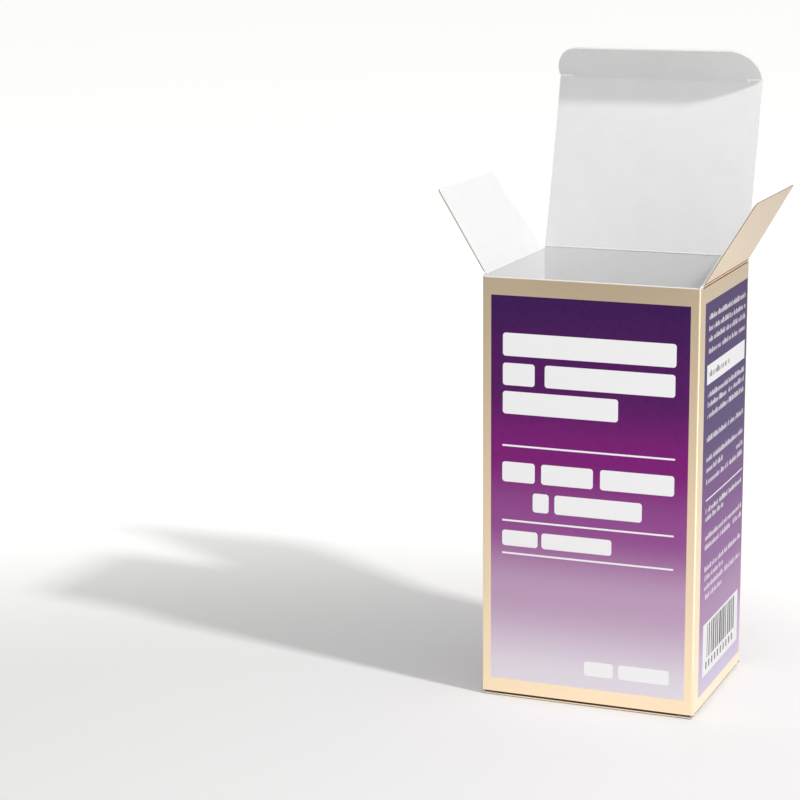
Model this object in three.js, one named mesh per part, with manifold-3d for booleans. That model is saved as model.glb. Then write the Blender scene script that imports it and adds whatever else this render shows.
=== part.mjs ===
// A straight tuck end folding carton for tablets, standing with its top open.
// Millimetres, +Z up, the front wall faces -Y, the origin lies under the middle of the base.
//
// The carton is one die-cut and creased sheet. Everything that stays put is one solid: four walls,
// the glue flap and the two bottom dust flaps. Each flap that swings is a solid of its own, with a
// rounded crease end that lies on its hinge axis.
import * as THREE from 'three';
import { mergeVertices } from 'three/addons/utils/BufferGeometryUtils.js';
import Module from 'manifold-3d';

const wasm = await Module();
wasm.setup();

// The closed carton
const width = 66; // outside, left to right
const depth = 55; // outside, front to back
const height = 130; // outside, base to closed lid
const board = 0.5; // thickness of the sheet
const foldRadius = 0.8; // outside radius of a folded edge
const layerGap = 0.3; // between boards that lie on, or turn against, each other
const slideGap = 0.3; // between a tucked flap and the front wall
const frontRimDrop = 0.5; // the front wall's edges stop short of the others, so that a tuck can enter

// The glued seam, inside the right wall at the back
const glueFlapWidth = 13;
const glueFlapTaper = 15; // degrees, at both ends
const glueFlapDrop = 1.2; // from the rim to where the taper starts
const seamSetback = 0.5; // from the back wall's face to the right wall's raw edge

// Lids and their tucks
const lidInset = 0.7; // from a side wall's face to the lid's edge
const slitLength = 4.2; // the cut at each end of the tuck's crease
const slitWidth = 0.4;
const shoulderReach = 0.7; // how far the lid's corners pass the tuck's crease
const tuckLength = 12.5;
const tuckStraight = 2; // the tuck's side before it starts to round
const tuckCornerWidth = 8.3;
const tipFillet = 0.9; // on the dust flaps' tips

// Dust flaps
const dustReach = 28.5; // hinge axis to tip
const dustFrontInset = 2.5; // leaves the front corner free for the tuck
const dustBackInset = 1.3;
const dustTipTaper = 6; // what the back edge loses towards the tip

// How far each flap stands open, in degrees
const lidOpen = 105.6; // from closed
const tuckFold = 56; // from flat in the lid's plane
const dustOpen = 121.5; // from closed
const bottomTuckFold = 97; // the closed base's tuck leans in, so that it clears the wall as it opens

// Places that follow from the sizes
const halfWidth = width / 2;
const halfDepth = depth / 2;
const halfBoard = board / 2;
const innerFoldRadius = foldRadius - board;
const rimTop = height - board - layerGap;
const rimBottom = board + layerGap;
const lidAxisY = halfDepth - halfBoard;
const lidAxisZ = height - halfBoard;
const bottomAxisZ = halfBoard;
const dustAxisX = halfWidth - halfBoard;
const dustAxisZ = lidAxisZ - board - layerGap;
const dustFrontY = -halfDepth + dustFrontInset;
const dustBackY = halfDepth - dustBackInset;
const lidHalfWidth = halfWidth - lidInset;
const lidReach = lidAxisY + halfDepth - board - slideGap - halfBoard; // hinge axis to tuck axis
const creaseHalf = lidHalfWidth - slitLength;
const lobeStart = Math.max(shoulderReach, halfBoard) + slitWidth;
const beyond = foldRadius + board; // how far a cutting tool runs past what it cuts
const curveSegments = 10;

// A three.js geometry as a solid that can be joined and cut
function toSolid(geometry) {
  const bare = new THREE.BufferGeometry();
  bare.setAttribute('position', geometry.getAttribute('position').clone());
  if (geometry.index) bare.setIndex(geometry.index.clone());
  const merged = mergeVertices(bare, 1e-4);
  const mesh = new wasm.Mesh({
    numProp: 3,
    vertProperties: new Float32Array(merged.attributes.position.array),
    triVerts: new Uint32Array(merged.index.array),
  });
  return new wasm.Manifold(mesh);
}

// A solid back as a three.js geometry, flat shaded
function toGeometry(solid) {
  const mesh = solid.getMesh();
  const indexed = new THREE.BufferGeometry();
  indexed.setAttribute('position', new THREE.BufferAttribute(mesh.vertProperties, 3));
  indexed.setIndex(new THREE.BufferAttribute(mesh.triVerts, 1));
  const geometry = indexed.toNonIndexed();
  geometry.computeVertexNormals();
  return geometry;
}

function extrude(shape, length) {
  return new THREE.ExtrudeGeometry(shape, { depth: length, bevelEnabled: false, curveSegments });
}

// A shape drawn in X and Y, extruded up from one height to another
function prismUp(shape, low, high) {
  return toSolid(extrude(shape, high - low).translate(0, 0, low));
}

// A shape drawn in Y and Z, extruded along X
function prismAlongX(shape, low, high) {
  const turn = new THREE.Matrix4().makeBasis(
    new THREE.Vector3(0, 1, 0),
    new THREE.Vector3(0, 0, 1),
    new THREE.Vector3(1, 0, 0),
  );
  return toSolid(extrude(shape, high - low).applyMatrix4(turn).translate(low, 0, 0));
}

// A shape drawn in X and Z, extruded along Y
function prismAlongY(shape, low, high) {
  const turn = new THREE.Matrix4().makeBasis(
    new THREE.Vector3(1, 0, 0),
    new THREE.Vector3(0, 0, 1),
    new THREE.Vector3(0, -1, 0),
  );
  return toSolid(extrude(shape, high - low).applyMatrix4(turn).translate(0, high, 0));
}

function boxBetween(low, high) {
  const size = new THREE.Vector3().subVectors(high, low);
  const middle = new THREE.Vector3().addVectors(low, high).multiplyScalar(0.5);
  return toSolid(new THREE.BoxGeometry(size.x, size.y, size.z).translate(middle.x, middle.y, middle.z));
}

// A closed outline through corners [x, y, fillet], anticlockwise
function filletedShape(corners) {
  const shape = new THREE.Shape();
  corners.forEach(([x, y, fillet = 0], i) => {
    const corner = new THREE.Vector2(x, y);
    if (fillet === 0) {
      if (i === 0) shape.moveTo(x, y);
      else shape.lineTo(x, y);
      return;
    }
    const [px, py] = corners[(i + corners.length - 1) % corners.length];
    const [nx, ny] = corners[(i + 1) % corners.length];
    const toPrevious = new THREE.Vector2(px, py).sub(corner).normalize();
    const toNext = new THREE.Vector2(nx, ny).sub(corner).normalize();
    const halfAngle = Math.acos(THREE.MathUtils.clamp(toPrevious.dot(toNext), -1, 1)) / 2;
    const start = corner.clone().addScaledVector(toPrevious, fillet / Math.tan(halfAngle));
    const end = corner.clone().addScaledVector(toNext, fillet / Math.tan(halfAngle));
    const centre = corner.clone().addScaledVector(toPrevious.add(toNext).normalize(), fillet / Math.sin(halfAngle));
    if (i === 0) shape.moveTo(start.x, start.y);
    else shape.lineTo(start.x, start.y);
    const from = Math.atan2(start.y - centre.y, start.x - centre.x);
    const to = Math.atan2(end.y - centre.y, end.x - centre.x);
    shape.absarc(centre.x, centre.y, fillet, from, to, false);
  });
  return shape;
}

// Plan section through the walls. Three corners are folded. At the fourth, back right, the back
// wall folds on into the glue flap, which lies inside the right wall and thickens it.
function wallSection() {
  const outer = new THREE.Shape();
  const r = foldRadius;
  const seamX = halfWidth - board;
  outer.moveTo(-halfWidth + r, -halfDepth);
  outer.lineTo(halfWidth - r, -halfDepth);
  outer.absarc(halfWidth - r, -halfDepth + r, r, -Math.PI / 2, 0, false);
  outer.lineTo(halfWidth, halfDepth - seamSetback);
  outer.lineTo(seamX, halfDepth - seamSetback);
  outer.lineTo(seamX, halfDepth - r);
  outer.absarc(seamX - r, halfDepth - r, r, 0, Math.PI / 2, false);
  outer.lineTo(-halfWidth + r, halfDepth);
  outer.absarc(-halfWidth + r, halfDepth - r, r, Math.PI / 2, Math.PI, false);
  outer.lineTo(-halfWidth, -halfDepth + r);
  outer.absarc(-halfWidth + r, -halfDepth + r, r, Math.PI, 1.5 * Math.PI, false);

  const inner = new THREE.Path();
  const ri = innerFoldRadius;
  const glueFlapEndY = halfDepth - glueFlapWidth;
  inner.moveTo(-halfWidth + r, -halfDepth + board);
  inner.lineTo(halfWidth - r, -halfDepth + board);
  inner.absarc(halfWidth - r, -halfDepth + r, ri, -Math.PI / 2, 0, false);
  inner.lineTo(seamX, glueFlapEndY);
  inner.lineTo(seamX - board, glueFlapEndY);
  inner.lineTo(seamX - board, halfDepth - r);
  inner.absarc(seamX - r, halfDepth - r, ri, 0, Math.PI / 2, false);
  inner.lineTo(-halfWidth + r, halfDepth - board);
  inner.absarc(-halfWidth + r, halfDepth - r, ri, Math.PI / 2, Math.PI, false);
  inner.lineTo(-halfWidth + board, -halfDepth + r);
  inner.absarc(-halfWidth + r, -halfDepth + r, ri, Math.PI, 1.5 * Math.PI, false);
  outer.holes.push(inner);
  return outer;
}

// What is trimmed off the glue flap above its tapered top end; the bottom end mirrors it
function glueFlapTrim() {
  const slope = Math.tan(THREE.MathUtils.degToRad(glueFlapTaper));
  const backY = halfDepth - foldRadius - board;
  const frontY = halfDepth - glueFlapWidth - board;
  const startZ = rimTop - glueFlapDrop;
  const profile = new THREE.Shape();
  profile.moveTo(backY, startZ);
  profile.lineTo(backY, rimTop + board);
  profile.lineTo(frontY, rimTop + board);
  profile.lineTo(frontY, startZ - (backY - frontY) * slope);
  return prismAlongX(profile, halfWidth - 2 * board - beyond, halfWidth - board);
}

// Plan outline of a dust flap, hinge on X, tip towards +Y. frontSide says which end of the hinge
// is the carton's front. start is where the outline begins, behind the hinge axis.
function dustOutline(frontSide, start) {
  const front = -dustFrontY * frontSide;
  const back = -dustBackY * frontSide;
  const tipBack = back + dustTipTaper * frontSide;
  const corners = [
    [back, start],
    [front, start],
    [front, dustReach, tipFillet],
    [tipBack, dustReach, tipFillet],
    [back, 0],
  ];
  return filletedShape(frontSide > 0 ? corners : corners.reverse());
}

// A bottom dust flap with the fold that joins it to its wall: right (side 1) or left (side -1)
function bottomDustFlap(side) {
  const centreX = halfWidth - foldRadius;
  const centreZ = rimBottom + foldRadius;
  const tipX = dustAxisX - dustReach;
  const profile = new THREE.Shape();
  profile.moveTo(halfWidth, centreZ + board);
  profile.lineTo(halfWidth - board, centreZ + board);
  profile.lineTo(halfWidth - board, centreZ);
  profile.absarc(centreX, centreZ, innerFoldRadius, 0, -Math.PI / 2, true);
  profile.lineTo(tipX, rimBottom + board);
  profile.lineTo(tipX, rimBottom);
  profile.lineTo(centreX, rimBottom);
  profile.absarc(centreX, centreZ, foldRadius, -Math.PI / 2, 0, false);
  const strip = prismAlongY(profile, dustFrontY, dustBackY);
  // The outline's hinge lies on X: turn it so that its tip points away from the wall, inwards
  const outline = extrude(dustOutline(-1, -beyond), 2 * beyond + foldRadius);
  const heading = new THREE.Matrix4().makeRotationZ(Math.PI / 2);
  const plan = toSolid(outline.applyMatrix4(heading).translate(dustAxisX, 0, rimBottom - board));
  const flap = strip.intersect(plan);
  return side > 0 ? flap : flap.mirror([1, 0, 0]);
}

// Walls, glue flap and bottom dust flaps
function cartonBody() {
  let body = prismUp(wallSection(), rimBottom, rimTop);

  const trim = glueFlapTrim();
  const middleZ = (rimTop + rimBottom) / 2;
  const bottomTrim = trim.translate([0, 0, -middleZ]).mirror([0, 0, 1]).translate([0, 0, middleZ]);
  body = body.subtract(trim).subtract(bottomTrim);

  const slot = frontRimDrop + board;
  for (const edgeZ of [rimTop - frontRimDrop + slot / 2, rimBottom + frontRimDrop - slot / 2]) {
    const cut = new THREE.BoxGeometry(width + 2 * board, 2 * foldRadius, slot);
    body = body.subtract(toSolid(cut.translate(0, -halfDepth, edgeZ)));
  }

  const hingeSeatZ = dustAxisZ - halfBoard - layerGap;
  for (const side of [1, -1]) {
    const inX = side * (halfWidth - board);
    const outX = side * (halfWidth + board);
    const lowX = Math.min(inX, outX);
    const highX = Math.max(inX, outX);
    // Room in the rim for the top dust flap's crease
    const seat = boxBetween(
      new THREE.Vector3(lowX, dustFrontY - layerGap, hingeSeatZ),
      new THREE.Vector3(highX, dustBackY + layerGap, rimTop + board),
    );
    // The square end that the bottom dust flap's fold takes the place of
    const squareEnd = boxBetween(
      new THREE.Vector3(lowX, dustFrontY, rimBottom - board),
      new THREE.Vector3(highX, dustBackY, rimBottom + foldRadius),
    );
    body = body.subtract(seat).subtract(squareEnd).add(bottomDustFlap(side));
  }
  return body;
}

// A flat flap's section: a rounded crease end on the hinge axis, a square cut at its tip
function flapSection(reach) {
  const profile = new THREE.Shape();
  profile.moveTo(0, -halfBoard);
  profile.lineTo(reach, -halfBoard);
  profile.lineTo(reach, halfBoard);
  profile.lineTo(0, halfBoard);
  profile.absarc(0, 0, halfBoard, Math.PI / 2, 1.5 * Math.PI, false);
  return profile;
}

// Plan outline of a lid, hinge on X: shoulders at both corners, set back where the tuck creases
function lidOutline(creaseEdge) {
  const shoulder = lidReach + shoulderReach;
  return filletedShape([
    [-lidHalfWidth, -board],
    [lidHalfWidth, -board],
    [lidHalfWidth, shoulder],
    [creaseHalf, shoulder],
    [creaseHalf, creaseEdge],
    [-creaseHalf, creaseEdge],
    [-creaseHalf, shoulder],
    [-lidHalfWidth, shoulder],
  ]);
}

// Outline of a tuck, crease on X: a neck between the slits, then lobes that round off to the tip
function tuckOutline(length) {
  const neckHalf = creaseHalf - layerGap;
  const shape = new THREE.Shape();
  const cornerHeight = length - tuckStraight;
  const cornerX = lidHalfWidth - tuckCornerWidth;
  shape.moveTo(-neckHalf, -board);
  shape.lineTo(neckHalf, -board);
  shape.lineTo(neckHalf, lobeStart);
  shape.lineTo(lidHalfWidth, lobeStart);
  shape.absellipse(cornerX, tuckStraight, tuckCornerWidth, cornerHeight, 0, Math.PI / 2, false);
  shape.absellipse(-cornerX, tuckStraight, tuckCornerWidth, cornerHeight, Math.PI / 2, Math.PI, false);
  shape.lineTo(-lidHalfWidth, lobeStart);
  shape.lineTo(-neckHalf, lobeStart);
  return shape;
}

// A flap cut from a flat section along its outline, with its hinge on X and its tip towards +Y
function flatFlap(section, outline, halfSpan) {
  return prismAlongX(section, -halfSpan, halfSpan).intersect(prismUp(outline, -board, board));
}

function topLid() {
  const creaseEdge = lidReach - halfBoard - layerGap;
  return flatFlap(flapSection(lidReach + shoulderReach), lidOutline(creaseEdge), lidHalfWidth);
}

function topTuck() {
  return flatFlap(flapSection(tuckLength), tuckOutline(tuckLength), lidHalfWidth);
}

function topDustFlap(frontSide) {
  return flatFlap(flapSection(dustReach), dustOutline(frontSide, -board), halfDepth);
}

// The base lid is shut: its tuck is folded up into the carton and stays folded
function bottomLid() {
  const foldAngle = THREE.MathUtils.degToRad(bottomTuckFold);
  const foldStart = lidReach + halfBoard - foldRadius;
  const panel = flatFlap(flapSection(lidReach + shoulderReach), lidOutline(foldStart), lidHalfWidth);

  const centre = new THREE.Vector2(foldStart, foldRadius - halfBoard);
  const along = new THREE.Vector2(Math.cos(foldAngle), Math.sin(foldAngle));
  const outward = new THREE.Vector2(Math.sin(foldAngle), -Math.cos(foldAngle));
  const straight = tuckLength - foldRadius;
  const outerTip = centre.clone().addScaledVector(outward, foldRadius).addScaledVector(along, straight);
  const innerTip = outerTip.clone().addScaledVector(outward, -board);
  const endAngle = foldAngle - Math.PI / 2;
  const profile = new THREE.Shape();
  profile.moveTo(foldStart - board, -halfBoard);
  profile.absarc(centre.x, centre.y, foldRadius, -Math.PI / 2, endAngle, false);
  profile.lineTo(outerTip.x, outerTip.y);
  profile.lineTo(innerTip.x, innerTip.y);
  profile.absarc(centre.x, centre.y, innerFoldRadius, endAngle, -Math.PI / 2, true);
  profile.lineTo(foldStart - board, halfBoard);
  const folded = prismAlongX(profile, -lidHalfWidth, lidHalfWidth);
  const mask = prismAlongY(tuckOutline(outerTip.y), foldStart - 2 * board, lidReach + beyond);
  return panel.add(folded.intersect(mask));
}

const foil = new THREE.MeshStandardMaterial({ color: 0xe3c596, roughness: 0.35, metalness: 0.6 });
const print = new THREE.MeshStandardMaterial({ color: 0x5a2a66, roughness: 0.4, metalness: 0 });
const liner = new THREE.MeshStandardMaterial({ color: 0xe9e9e6, roughness: 0.8, metalness: 0 });

function namedMesh(name, solid, material, heading = 0) {
  const mesh = new THREE.Mesh(toGeometry(solid), material);
  mesh.name = name;
  mesh.rotation.z = heading;
  return mesh;
}

// A group whose origin lies on a hinge axis
function hingeAt(x, y, z, ...meshes) {
  const hinge = new THREE.Group();
  hinge.position.set(x, y, z);
  hinge.add(...meshes);
  return hinge;
}

const { degToRad } = THREE.MathUtils;

const carton = new THREE.Group();
carton.add(namedMesh('carton_body', cartonBody(), print));
carton.add(hingeAt(0, lidAxisY, bottomAxisZ, namedMesh('bottom_lid', bottomLid(), foil, Math.PI)));

const tuck = hingeAt(0, -lidReach, 0, namedMesh('tuck_flap', topTuck(), liner, Math.PI));
tuck.rotation.x = degToRad(tuckFold);
const lid = hingeAt(0, lidAxisY, lidAxisZ, namedMesh('top_lid', topLid(), liner, Math.PI), tuck);
lid.rotation.x = -degToRad(lidOpen);
carton.add(lid);

for (const [name, side] of [['left_dust_flap', -1], ['right_dust_flap', 1]]) {
  const flap = namedMesh(name, topDustFlap(-side), foil, side * Math.PI / 2);
  const hinge = hingeAt(side * dustAxisX, 0, dustAxisZ, flap);
  hinge.rotation.y = side * degToRad(dustOpen);
  carton.add(hinge);
}

export default carton;
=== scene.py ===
from math import cos, sin, radians, pi

import bmesh
import bpy
from mathutils import Matrix, Vector


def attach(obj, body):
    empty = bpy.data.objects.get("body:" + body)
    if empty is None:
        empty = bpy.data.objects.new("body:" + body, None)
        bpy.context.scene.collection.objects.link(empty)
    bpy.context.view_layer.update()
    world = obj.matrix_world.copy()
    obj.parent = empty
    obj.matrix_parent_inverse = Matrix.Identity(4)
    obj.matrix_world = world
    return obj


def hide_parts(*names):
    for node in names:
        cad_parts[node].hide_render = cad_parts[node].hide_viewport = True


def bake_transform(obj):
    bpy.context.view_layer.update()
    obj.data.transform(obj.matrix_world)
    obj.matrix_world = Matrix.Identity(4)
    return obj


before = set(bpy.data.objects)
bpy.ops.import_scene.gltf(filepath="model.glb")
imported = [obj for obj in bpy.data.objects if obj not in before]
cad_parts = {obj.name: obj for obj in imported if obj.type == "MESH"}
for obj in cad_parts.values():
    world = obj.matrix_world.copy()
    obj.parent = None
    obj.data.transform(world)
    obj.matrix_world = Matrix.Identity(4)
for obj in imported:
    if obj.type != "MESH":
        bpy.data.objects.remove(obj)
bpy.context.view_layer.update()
mm = 0.001

# sizes of the board, in millimetres, the same as the solids
carton = {
    "halfWidth": 33.0,
    "halfDepth": 27.5,
    "board": 0.5,
    "fold": 0.8,
    "rimTop": 129.2,
    "rimBottom": 0.8,
    "frontDrop": 0.5,
    "hingeGap": 0.3,
    "lidAxisY": 27.25,
    "lidAxisZ": 129.75,
    "lidReach": 53.7,
    "lidHalf": 32.3,
    "creaseHalf": 28.1,
    "shoulder": 0.7,
    "tuckLength": 12.5,
    "dustReach": 28.5,
    "dustAxisX": 32.75,
    "dustAxisZ": 128.95,
    "dustFrontY": -25.0,
    "dustBackY": 26.2,
    "dustTaper": 6.0,
    "dustCrease": 0.95,
}
halfBoard = carton["board"] / 2

# the map called sheet holds places on the blank, this many millimetres to one unit
sheetScale = 100.0


# shader helpers

def newGroup(name, inputs, outputs):
    tree = bpy.data.node_groups.new(name, "ShaderNodeTree")
    for label, kind, value in inputs:
        socket = tree.interface.new_socket(name=label, in_out="INPUT", socket_type=kind)
        if value is not None:
            socket.default_value = value
    for label, kind in outputs:
        tree.interface.new_socket(name=label, in_out="OUTPUT", socket_type=kind)
    given = tree.nodes.new("NodeGroupInput").outputs
    results = tree.nodes.new("NodeGroupOutput").inputs
    return tree, given, results


def feed(tree, socket, value):
    if isinstance(value, bpy.types.NodeSocket):
        tree.links.new(value, socket)
    else:
        socket.default_value = value


def calc(tree, operation, a, b=None, c=None, clamp=False):
    node = tree.nodes.new("ShaderNodeMath")
    node.operation = operation
    node.use_clamp = clamp
    for index, value in enumerate((a, b, c)):
        if value is not None:
            feed(tree, node.inputs[index], value)
    return node.outputs[0]


def vectorMath(tree, operation, a, b=None):
    node = tree.nodes.new("ShaderNodeVectorMath")
    node.operation = operation
    for index, value in enumerate((a, b)):
        if value is not None:
            feed(tree, node.inputs[index], value)
    return node.outputs


def mix(tree, factor, a, b, kind="RGBA"):
    node = tree.nodes.new("ShaderNodeMix")
    node.data_type = kind
    feed(tree, node.inputs["Factor"], factor)
    feed(tree, node.inputs["A"], a)
    feed(tree, node.inputs["B"], b)
    return node.outputs["Result"]


def mapRange(tree, value, source, result=(0.0, 1.0), smooth=False):
    node = tree.nodes.new("ShaderNodeMapRange")
    node.interpolation_type = "SMOOTHSTEP" if smooth else "LINEAR"
    for label, end in zip(("From Min", "From Max", "To Min", "To Max"), source + result):
        node.inputs[label].default_value = end
    tree.links.new(value, node.inputs["Value"])
    return node.outputs[0]


def separate(tree, vector):
    node = tree.nodes.new("ShaderNodeSeparateXYZ")
    tree.links.new(vector, node.inputs[0])
    return node.outputs


def useGroup(tree, group, **values):
    node = tree.nodes.new("ShaderNodeGroup")
    node.node_tree = group
    for label, value in values.items():
        feed(tree, node.inputs[label], value)
    return node.outputs


def noise(tree, vector, scale, detail=2.0, roughness=0.5):
    node = tree.nodes.new("ShaderNodeTexNoise")
    node.inputs["Scale"].default_value = scale
    node.inputs["Detail"].default_value = detail
    node.inputs["Roughness"].default_value = roughness
    tree.links.new(vector, node.inputs["Vector"])
    return node.outputs["Fac"]


def sheetMap(tree):
    node = tree.nodes.new("ShaderNodeUVMap")
    node.uv_map = "sheet"
    return separate(tree, node.outputs["UV"])


# across and up on the blank, in millimetres
def sheetCoords(tree):
    place = sheetMap(tree)
    return [calc(tree, "MULTIPLY", place[axis], sheetScale) for axis in (0, 1)]


def srgb(r, g, b):
    def lin(c):
        c = c / 255
        return c / 12.92 if c <= 0.04045 else ((c + 0.055) / 1.055) ** 2.4
    return (lin(r), lin(g), lin(b), 1.0)


def numbers(**defaults):
    return [(label, "NodeSocketFloat", value) for label, value in defaults.items()]


# how fast a printed mark fades at its edge, for each millimetre
markCrispness = 12.0


# a rounded bar: 1 inside, 0 outside, with a thin soft edge
def makeBarGroup():
    tree, given, results = newGroup(
        "printedBar", numbers(Across=0.0, Up=0.0, Left=0.0, Right=1.0, Low=0.0, High=1.0, Rounding=0.0),
        [("Mask", "NodeSocketFloat")])
    distances = []
    for coord, low, high in (("Across", "Left", "Right"), ("Up", "Low", "High")):
        middle = calc(tree, "MULTIPLY", calc(tree, "ADD", given[low], given[high]), 0.5)
        half = calc(tree, "MULTIPLY", calc(tree, "SUBTRACT", given[high], given[low]), 0.5)
        away = calc(tree, "ABSOLUTE", calc(tree, "SUBTRACT", given[coord], middle))
        inner = calc(tree, "SUBTRACT", half, given["Rounding"])
        distances.append(calc(tree, "SUBTRACT", away, inner))
    outX = calc(tree, "MAXIMUM", distances[0], 0.0)
    outY = calc(tree, "MAXIMUM", distances[1], 0.0)
    squareX = calc(tree, "MULTIPLY", outX, outX)
    squareY = calc(tree, "MULTIPLY", outY, outY)
    corner = calc(tree, "SQRT", calc(tree, "ADD", squareX, squareY))
    inside = calc(tree, "MINIMUM", calc(tree, "MAXIMUM", distances[0], distances[1]), 0.0)
    signed = calc(tree, "SUBTRACT", calc(tree, "ADD", corner, inside), given["Rounding"])
    soft = calc(tree, "MULTIPLY_ADD", signed, -markCrispness, 0.5, clamp=True)
    tree.links.new(soft, results["Mask"])
    return tree


# strokes of the small print: widths as shares of their pitch, heights as shares of the row's
rowLook = {
    "narrowest": 0.5,
    "widthSpread": 0.35,
    "gapShare": 0.13,
    "shortShare": 0.72,
    "shortHeight": 0.7,
    "sideCrispness": 8.0,
    "topCrispness": 10.0,
}


# one row of small print: uneven little strokes between two ends, like lines too small to read
def makeRowGroup(barTree):
    tree, given, results = newGroup(
        "smallPrintRow", numbers(Across=0.0, Up=0.0, Start=0.0, End=1.0, Base=0.0, Height=1.4, Pitch=0.75),
        [("Mask", "NodeSocketFloat")])
    top = calc(tree, "ADD", given["Base"], given["Height"])
    band = useGroup(tree, barTree, Across=given["Across"], Up=given["Up"], Left=given["Start"],
                    Right=given["End"], Low=given["Base"], High=top)
    cell = calc(tree, "DIVIDE", given["Across"], given["Pitch"])
    seed = tree.nodes.new("ShaderNodeCombineXYZ")
    feed(tree, seed.inputs[0], calc(tree, "FLOOR", cell))
    feed(tree, seed.inputs[1], given["Base"])
    white = tree.nodes.new("ShaderNodeTexWhiteNoise")
    white.noise_dimensions = "3D"
    tree.links.new(seed.outputs[0], white.inputs["Vector"])
    chance = white.outputs["Value"]
    width = calc(tree, "MULTIPLY_ADD", chance, rowLook["widthSpread"], rowLook["narrowest"])
    left = calc(tree, "SUBTRACT", width, calc(tree, "FRACT", cell))
    stroke = calc(tree, "MULTIPLY", left, rowLook["sideCrispness"], clamp=True)
    word = calc(tree, "GREATER_THAN", chance, rowLook["gapShare"])
    isTall = calc(tree, "GREATER_THAN", chance, rowLook["shortShare"])
    tall = calc(tree, "MULTIPLY_ADD", isTall, 1 - rowLook["shortHeight"], rowLook["shortHeight"])
    reach = calc(tree, "MULTIPLY_ADD", given["Height"], tall, given["Base"])
    room = calc(tree, "SUBTRACT", reach, given["Up"])
    under = calc(tree, "MULTIPLY", room, rowLook["topCrispness"], clamp=True)
    mask = band["Mask"]
    for part in (stroke, word, under):
        mask = calc(tree, "MULTIPLY", mask, part)
    tree.links.new(mask, results["Mask"])
    return tree


barGroup = makeBarGroup()
rowGroup = makeRowGroup(barGroup)


# the finishes

foilLook = {
    "darker": srgb(228, 205, 172),
    "lighter": srgb(236, 215, 184),
    "cloudScale": 18.0,
    "grainScale": 2400.0,
    "metallic": 0.75,
    "roughness": 0.26,
    "roughnessSpread": 0.05,
}


# gold: a metallic layer over fine board
def makeFoilGroup():
    tree, given, results = newGroup(
        "foilTone", [("Vector", "NodeSocketVector", None)],
        [("Color", "NodeSocketColor"), ("Roughness", "NodeSocketFloat"), ("Height", "NodeSocketFloat")])
    cloud = noise(tree, given[0], foilLook["cloudScale"])
    grain = noise(tree, given[0], foilLook["grainScale"])
    rough = calc(tree, "MULTIPLY_ADD", grain, foilLook["roughnessSpread"], foilLook["roughness"])
    tree.links.new(mix(tree, cloud, foilLook["darker"], foilLook["lighter"]), results["Color"])
    tree.links.new(rough, results["Roughness"])
    tree.links.new(grain, results["Height"])
    return tree


linerLook = {
    "darker": srgb(234, 234, 234),
    "lighter": srgb(243, 243, 243),
    "fibre": srgb(221, 220, 219),
    "fibreShare": 0.25,
    "cloudScale": 120.0,
    "cloudBump": 0.5,
    "fibreScale": 2600.0,
    "fibreStretch": (1.0, 1.0, 0.25),
    "roughness": 0.7,
}


# bare white board: pressed fibres, faintly uneven
def makeFibreGroup():
    tree, given, results = newGroup("fibreTone", [("Vector", "NodeSocketVector", None)],
                                    [("Color", "NodeSocketColor"), ("Height", "NodeSocketFloat")])
    cloud = noise(tree, given[0], linerLook["cloudScale"], detail=4.0, roughness=0.6)
    stretch = tree.nodes.new("ShaderNodeMapping")
    stretch.inputs["Scale"].default_value = linerLook["fibreStretch"]
    tree.links.new(given[0], stretch.inputs["Vector"])
    fibre = noise(tree, stretch.outputs[0], linerLook["fibreScale"], detail=3.0, roughness=0.7)
    tone = mix(tree, cloud, linerLook["darker"], linerLook["lighter"])
    tone = mix(tree, calc(tree, "MULTIPLY", fibre, linerLook["fibreShare"]), tone, linerLook["fibre"])
    swell = calc(tree, "MULTIPLY", cloud, linerLook["cloudBump"])
    tree.links.new(tone, results["Color"])
    tree.links.new(calc(tree, "ADD", fibre, swell), results["Height"])
    return tree


foilGroup = makeFoilGroup()
fibreGroup = makeFibreGroup()


def newMaterial(name):
    material = bpy.data.materials.new(name)
    material.use_nodes = True
    tree = material.node_tree
    coords = tree.nodes.new("ShaderNodeTexCoord")
    return material, tree, tree.nodes["Principled BSDF"].inputs, coords.outputs["Object"]


def addBump(tree, shader, height, strength, distance):
    bump = tree.nodes.new("ShaderNodeBump")
    bump.inputs["Strength"].default_value = strength
    bump.inputs["Distance"].default_value = distance
    tree.links.new(height, bump.inputs["Height"])
    tree.links.new(bump.outputs[0], shader["Normal"])


def makeFoil():
    material, tree, shader, vector = newMaterial("goldFoil")
    foil = useGroup(tree, foilGroup, Vector=vector)
    tree.links.new(foil["Color"], shader["Base Color"])
    tree.links.new(foil["Roughness"], shader["Roughness"])
    shader["Metallic"].default_value = foilLook["metallic"]
    addBump(tree, shader, foil["Height"], strength=0.02, distance=0.0001)
    return material


def unite(tree, masks):
    total = masks[0]
    for mask in masks[1:]:
        total = calc(tree, "MAXIMUM", total, mask)
    return total


def bar(tree, across, up, left, right, low, high, rounding=0.0):
    return useGroup(tree, barGroup, Across=across, Up=up, Left=left, Right=right, Low=low, High=high,
                    Rounding=rounding)["Mask"]


# painted light along the crease, from the wall's side of the hinge to the flap's, in millimetres: a brown
# band of painted shade, a cream band of painted highlight on the bead and an orange band of painted shade
creaseLook = {
    "bands": [
        (-0.80, -0.42, srgb(104, 50, 0)),
        (-0.38, 0.16, srgb(255, 246, 220)),
        (0.18, 0.84, srgb(184, 90, 0)),
    ],
    "halfLength": 40.0,
    "paintedMetallic": 0.15,
}


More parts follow.
